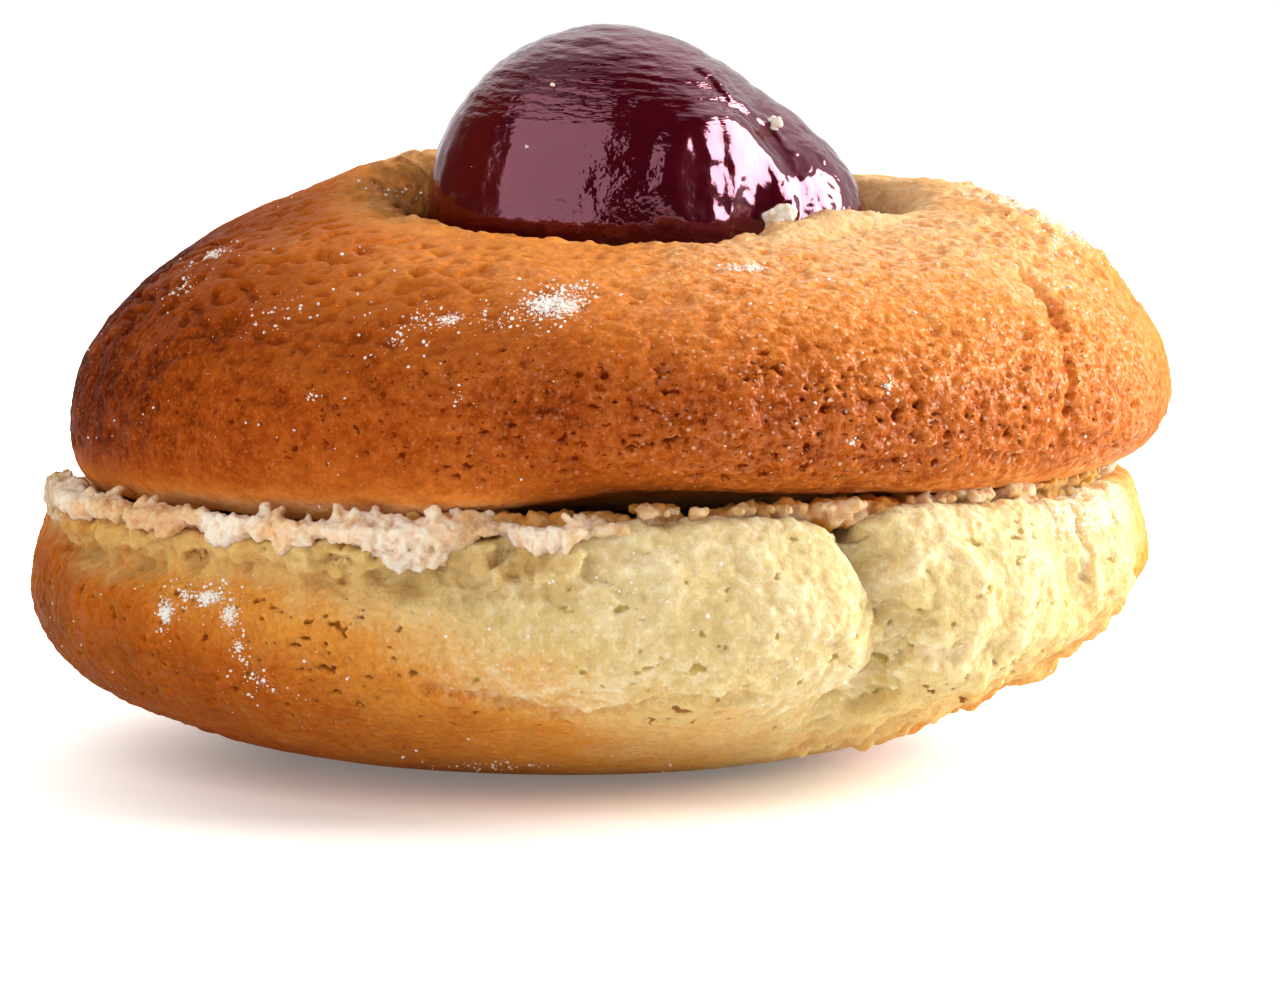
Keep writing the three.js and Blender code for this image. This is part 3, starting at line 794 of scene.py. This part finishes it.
def makeGapCrumbs(material, surfaces):
    draw = random.Random(23)
    lumps = Lumps(draw)
    tree = BVHTree.FromObject(surfaces["top"], bpy.context.evaluated_depsgraph_get())
    for middle, spread, hang, count, size, _ in gapCrumbs["heaps"]:
        for k in range(count):
            angle, radius = draw.gauss(middle, spread), draw.uniform(24.6, 26.9)
            under = tree.ray_cast(polar(angle, radius, 9) * mm, Vector((0, 0, 1)))[0]
            if under:
                lump = size * draw.uniform(0.55, 1.1)
                low = under.z / mm - hang * draw.random() * (1 - 0.4 * abs(angle - middle) / spread)
                lumps.add(polar(angle, radius, min(low, 15)), lump)
    for k in range(760):  # crumb that closes the gap behind the heaps, coloured darker as painted shade under the upper biscuit's edge
        angle = draw.uniform(246, 349)
        radius = draw.uniform(24.1, 25.9)
        under = tree.ray_cast(polar(angle, radius, 9) * mm, Vector((0, 0, 1)))[0]
        if under:
            below = draw.uniform(0, 0.8) + 0.35 * (1 - smooth(280, 287, angle))
            lumps.add(polar(angle, radius, min(under.z / mm, 14.9) - below), draw.uniform(0.35, 0.6))
    for k in range(520):  # and under the very edge
        angle, radius = draw.uniform(278.5, 349), draw.uniform(25.6, 27.3)
        under = tree.ray_cast(polar(angle, radius, 9) * mm, Vector((0, 0, 1)))[0]
        if under and under.z / mm < 15.4:
            lumps.add(polar(angle, radius, under.z / mm - draw.uniform(0, 0.25)), draw.uniform(0.2, 0.36))
    for angle, radius, z, size in gapCrumbs["balls"]:
        lumps.add(polar(angle, radius, z), size, 2)
    form = reworked(lumps.pour(), voxel=tornFlakes["voxel"], smoothing=1)
    form.normal_update()
    for vert in form.verts:
        p = vert.co
        vert.co = p + vert.normal * (0.12 * rough(p, 0.5, 3) + 0.08 * rough(p, 0.28, 6))

    def grey(vert):
        angle = angleOf(vert.co)
        nearest = min(gapCrumbs["heaps"], key=lambda heap: apart(heap[0], angle))
        return 0 if 327 <= angle <= 345 else nearest[5]

    def outside(vert):
        return smooth(25.5, 26.0, math.hypot(vert.co.x, vert.co.y))

    def heaped(vert):
        angle = angleOf(vert.co)
        return max(bell(angle, middle, 2.2 * spread + 0.6) for middle, spread, *_ in gapCrumbs["heaps"])

    marks(form, {
        "grey": lambda vert: outside(vert) * max(grey(vert), 0.9 - heaped(vert)),
        "flake": lambda vert: outside(vert) * 0.8 * heaped(vert),
        # the inner crumb takes the painted shade colours
        "shadedCrumb": lambda vert: 0.9 * (1 - outside(vert)) * (1 - smooth(286, 296, angleOf(vert.co))),
        "tone": lambda vert: 0.5, "pit": lambda vert: 0.3 - 0.3 * outside(vert),
        "peach": lambda vert: 0.2 + 0.3 * rough(vert.co, 1.2, 8) if angleOf(vert.co) < 327 else 0,
    })
    return piece("gapCrumbs", form, material)


# the cherry

cherryShape = {
    "voxel": 0.14, "triangles": 150000,
    "ball": (Vector((0.5, 0, 27.8)), Vector((9.5, 9, 9.85))), "tail": (Vector((4.6, 1.8, 26.4)), Vector((9.5, 7.8, 7.8))),
    "cheek": Vector((6.9, -6.6, 29.7)),  # the flattened place that shines
    "saddle": Vector((7.7, 2.2, 33.3)),  # filled out between the two halves
    "fold": [Vector((5.3, -3.2, 35.6)), Vector((5.8, -2.9, 35.1)), Vector((6.7, -3.5, 33.9)), Vector((8.8, -1.2, 32.5)),
             Vector((9.6, -2.6, 29.8)), Vector((9.8, -4.1, 27.6))],
}


def toLine(points, place):
    best = 1e9
    for a, b in zip(points, points[1:]):
        t = min(max((place - a).dot(b - a) / (b - a).length_squared, 0), 1)
        best = min(best, (place - a.lerp(b, t)).length)
    return best


def within(ellipsoid, place):  # 1 on its surface
    away = place - ellipsoid[0]
    return math.sqrt(sum((away[k] / ellipsoid[1][k]) ** 2 for k in range(3)))


def makeCherry(material):
    form = reworked(cadCopy("cherry"), voxel=0.2, smoothing=10)
    form.verts.ensure_lookup_table()
    crease = [v for v in form.verts if abs(within(cherryShape["ball"], v.co) - within(cherryShape["tail"], v.co)) < 0.12]
    for k in range(150):  # fills the crease between the two halves
        bmesh.ops.smooth_vert(form, verts=crease, factor=0.5, use_axis_x=True, use_axis_y=True, use_axis_z=True)
    form = reworked(form, voxel=cherryShape["voxel"], smoothing=2)
    form.normal_update()
    for vert in form.verts:
        p = vert.co.copy()
        top = smooth(32.3, 35, p.z)
        crumpled = smooth(3.2, 5.2, p.x) * (1 - smooth(33.5, 35, p.z)) * smooth(2, -2, p.y)
        tail = smooth(9.0, 10.5, p.x)
        slant = p.z + 0.12 * p.x
        ripple = noise.noise(Vector((p.x / 2.6, p.y / 2.6, slant / 0.36))) + 0.6 * noise.noise(
            Vector((p.x / 1.4, p.y / 1.4, slant / 0.24)))
        amount = 0.07 * rough(p, 4, 2) + 0.02 * rough(p, 1.3, 6) + 0.008 * rough(p, 0.6, 8)
        amount += 0.065 * top * ripple
        off = (p - cherryShape["cheek"]).length
        amount += 0.6 * off * off / 19 * (1 - smooth(3.2, 4.8, off))
        amount += crumpled * (0.08 * abs(rough(p, 2.0, 31)) + 0.03 * abs(rough(p, 0.9, 32)) + 0.01 * rough(p, 0.4, 33))
        amount += tail * (0.10 * abs(rough(p, 1.4, 35)) + 0.05 * abs(rough(p, 0.6, 36)))
        amount += tail * (1 - smooth(27, 28.6, p.z)) * 0.12 * abs(rough(p, 0.9, 37))
        amount += 0.55 * (1 - smooth(0, 4.2, (p - cherryShape["saddle"]).length))
        away = toLine(cherryShape["fold"], p)
        amount += 0.16 * (1 - smooth(0.1, 0.55, away + 0.15 * rough(p, 0.9, 9)))
        vert.co = p + vert.normal * amount
    marks(form, {
        "left": lambda vert: 1 - smooth(-6.5, -3.0, vert.co.x + 0.8 * rough(vert.co, 2, 4)),
        "wrinkled": lambda vert: (0.1 + smooth(-4.5, -0.5, vert.co.x) * (1 - smooth(2.6, 4.2, vert.co.x))
                                  * (1 - smooth(31, 33.5, vert.co.z))),
        "rippled": lambda vert: smooth(31.8, 33.8, vert.co.z) * (1 - 0.5 * smooth(6, 9, vert.co.x)),
    })
    form = reworked(form, triangles=cherryShape["triangles"])
    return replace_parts(piece("cherry", form, material), "cherry")


# icing sugar and loose crumbs

sugarDust = {
    "clusters": [  # (biscuit, angle, height, spread sideways, spread up, grains)
        ("top", 264.0, 24.8, 0.85, 0.42, 520), ("top", 267.5, 25.4, 1.2, 0.3, 70), ("top", 258, 24.2, 2.0, 0.8, 60),
        ("top", 250.5, 24.0, 1.3, 0.5, 90), ("top", 247.5, 23.1, 1.1, 0.45, 45), ("top", 240, 20.3, 0.16, 0.16, 14),
        ("top", 290, 26.3, 1.3, 0.18, 60), ("top", 197, 26.1, 1.0, 0.35, 60), ("top", 204, 24.8, 1.0, 0.6, 40),
        ("top", 256, 20.6, 0.3, 0.4, 20), ("top", 300, 20.9, 0.2, 0.16, 26), ("top", 296, 18.3, 0.16, 0.14, 16),
        ("top", 15, 27.3, 5.5, 1.1, 900), ("top", 348, 26.3, 3.0, 0.8, 120), ("top", 315, 23.5, 1.5, 1.0, 16),
        ("top", 228, 24, 3, 1.3, 70), ("top", 75, 27, 1.5, 0.8, 220), ("top", 140, 24, 1.0, 0.6, 130),
        ("bottom", 227.4, 10.3, 0.9, 0.3, 190), ("bottom", 222, 9.3, 0.3, 0.45, 210),
        ("bottom", 224.5, 10.2, 0.5, 0.3, 60), ("bottom", 231, 9.3, 0.5, 0.7, 80),
        ("bottom", 232, 8.0, 0.4, 0.4, 45), ("bottom", 233, 6.4, 1.2, 0.8, 80),
        ("bottom", 100, 9, 0.9, 0.5, 130), ("bottom", 255, 1.6, 4, 0.4, 70), ("bottom", 272, 12, 4, 1.0, 40),
        ("bottom", 300, 7, 5, 2, 60),
    ],
    "loose": 450, "grain": (0.026, 0.11),
}


def makeSugar(material, surfaces):
    draw = random.Random(31)
    lumps = Lumps(draw)
    trees = {name: BVHTree.FromObject(o, bpy.context.evaluated_depsgraph_get()) for name, o in surfaces.items()}
    spots = []
    for surface, angle, height, wide, tall, count in sugarDust["clusters"]:
        for k in range(count):
            spread = 0.5 if draw.random() < 0.7 else 1.4
            spots.append((surface, angle + math.degrees(draw.gauss(0, wide * spread) / 27),
                          height + draw.gauss(0, tall * spread)))
    for k in range(sugarDust["loose"]):
        surface = draw.choice(["top", "top", "bottom"])
        spots.append((surface, draw.uniform(0, 360), draw.uniform(16, 29) if surface == "top" else draw.uniform(3, 13)))
    for surface, angle, height in spots:
        hit = castIn(trees[surface], angle, height, mm)
        if hit is None:
            continue
        size = sugarDust["grain"][0] + (sugarDust["grain"][1] - sugarDust["grain"][0]) * draw.random() ** 3
        lumps.add(hit[0] + hit[1] * size * 0.3, size)
    print("sugar grains", lumps.count)
    return piece("icingSugar", lumps.pour(), material, shade=False)


def makeLooseCrumbs(material, surfaces):
    draw = random.Random(8)
    lumps = Lumps(draw)
    tree = BVHTree.FromObject(surfaces["cherry"], bpy.context.evaluated_depsgraph_get())
    for target, size, count in [(Vector((8.9, -1.5, 32.4)), 0.30, 8), (Vector((9.4, -5.4, 27.9)), 0.46, 26),
                                (Vector((-3.9, -7.6, 32.0)), 0.11, 3), (Vector((-6.6, -5.5, 30.6)), 0.09, 2),
                                (Vector((1.3, -8, 32.2)), 0.08, 2), (Vector((-2.2, -5.5, 34.6)), 0.14, 3)]:
        place, facing, _, _ = tree.find_nearest(target * mm)
        for k in range(count):
            shift = Vector((draw.gauss(0, 0.8), draw.gauss(0, 0.4), draw.gauss(0, 0.6))) * size
            lumps.add(place / mm + facing * size * 0.5 + shift, size * draw.uniform(0.45, 0.85), 2)
    form = reworked(lumps.pour(), voxel=0.06, smoothing=1)
    form.normal_update()
    for vert in form.verts:
        vert.co += vert.normal * (0.05 * rough(vert.co, 0.25, 3) + 0.03 * rough(vert.co, 0.13, 3))
    return piece("looseCrumbs", form, material)


# the studio

studio = {
    "target": Vector((2.1, 0, 13.4)) * mm, "distance": 340 * mm, "elevation": 5.8, "lens": 183.6,
    "backdrop": 1.0, "room": 0.04, "bright": Vector((0.5, 0.85, 0)),  # the side that the white walls are on
    "floor": srgb(246, 243, 240), "glow": (0.17, 0.85),
    "shadow": Vector((-3, -8, 0)) * mm,  # the middle of the shaded floor
    "lights": [  # name, azimuth from the camera towards the right, elevation, distance, width, height, power, colour
        ("key", 95, 22, 600, 400, 320, 5.7, (1, 0.97, 0.93)),
        ("panel", -40.5, 22, 600, 856, 1120, 5.1, (1, 0.97, 0.95)),
        ("back", 188, 58, 600, 900, 700, 0.9, (1, 0.93, 0.93)),
    ],
}


def makeCamera():
    data = bpy.data.cameras.new("camera")
    data.lens, data.sensor_width, data.clip_start, data.clip_end = studio["lens"], 36, 0.01, 20
    camera = bpy.data.objects.new("camera", data)
    tilt = math.radians(studio["elevation"])
    back = Vector((0, -math.cos(tilt), math.sin(tilt)))
    camera.location = studio["target"] + back * studio["distance"]
    camera.rotation_euler = (-back).to_track_quat("-Z", "Y").to_euler()
    bpy.context.scene.collection.objects.link(camera)
    bpy.context.scene.camera = camera


def makeLights():
    for name, azimuth, elevation, distance, width, height, power, color in studio["lights"]:
        data = bpy.data.lights.new(name, "AREA")
        data.shape, data.size, data.size_y = "RECTANGLE", width * mm, height * mm
        data.energy, data.color = power, color
        light = bpy.data.objects.new(name, data)
        a, e = math.radians(azimuth), math.radians(elevation)
        towards = Vector((math.sin(a) * math.cos(e), -math.cos(a) * math.cos(e), math.sin(e)))
        light.location = Vector((0, 0, 18 * mm)) + towards * distance * mm
        light.rotation_euler = (-towards).to_track_quat("-Z", "Y").to_euler()
        bpy.context.scene.collection.objects.link(light)


def makeWorld():
    world = bpy.data.worlds.new("studio")
    bpy.context.scene.world = world
    world.use_nodes = True
    nodes, links = world.node_tree.nodes, world.node_tree.links
    where = nodes.new("ShaderNodeTexCoord")
    facing = nodes.new("ShaderNodeVectorMath")
    facing.operation = "DOT_PRODUCT"
    links.new(where.outputs["Generated"], facing.inputs[0])
    facing.inputs[1].default_value = studio["bright"]
    depth = nodes.new("ShaderNodeMapRange")
    depth.interpolation_type = "SMOOTHSTEP"
    links.new(facing.outputs["Value"], depth.inputs["Value"])
    settings = {"From Min": 0.1, "From Max": 0.75, "To Min": studio["room"], "To Max": studio["backdrop"]}
    for name, value in settings.items():
        depth.inputs[name].default_value = value
    links.new(depth.outputs[0], nodes["Background"].inputs["Strength"])
    nodes["Background"].inputs["Color"].default_value = (1, 1, 1, 1)


def makeFloor():
    form = bmesh.new()
    bmesh.ops.create_grid(form, x_segments=1, y_segments=1, size=6)
    mesh = bpy.data.meshes.new("floor")
    form.to_mesh(mesh)
    form.free()
    look = Look("floor")
    look.shader.inputs["Base Color"].default_value = studio["floor"]
    look.shader.inputs["Roughness"].default_value = 0.7
    look.shader.inputs["Specular IOR Level"].default_value = 0.1
    look.shader.inputs["Emission Color"].default_value = (1, 0.95, 0.9, 1)
    away = look.add("ShaderNodeVectorMath", {0: look.place, 1: studio["shadow"]}, operation="SUBTRACT").outputs[0]
    squeezed = look.add("ShaderNodeVectorMath", {0: away, 1: (1, 0.62, 1)}, operation="MULTIPLY").outputs[0]
    far = look.add("ShaderNodeVectorMath", {0: squeezed}, operation="LENGTH").outputs["Value"]
    # the floor glows, but sheds less light than it shows
    seen = look.add("ShaderNodeLightPath").outputs["Is Camera Ray"]
    glow = look.maths("MULTIPLY", look.ranged(far, 0.012, 0.034, studio["glow"]), look.ranged(seen, 0, 1, (0.2, 1)))
    look.put(glow, look.shader.inputs["Emission Strength"])
    mesh.materials.append(look.material)
    floor = bpy.data.objects.new("floor", mesh)
    bpy.context.scene.collection.objects.link(floor)


bpy.context.scene.view_settings.view_transform = "Standard"
makeCamera()
makeLights()
makeWorld()
makeFloor()
print("studio ready")
surfaces = {"top": makeTop(crustMaterial())}
surfaces["bottom"] = makeBottom(crumbMaterial())
surfaces["cherry"] = makeCherry(cherryMaterial())

makeFlakes(surfaces["bottom"].data.materials[0], surfaces)
makeGapCrumbs(surfaces["bottom"].data.materials[0], surfaces)
makeSugar(sugarMaterial(), surfaces)
makeLooseCrumbs(looseCrumbMaterial(), surfaces)
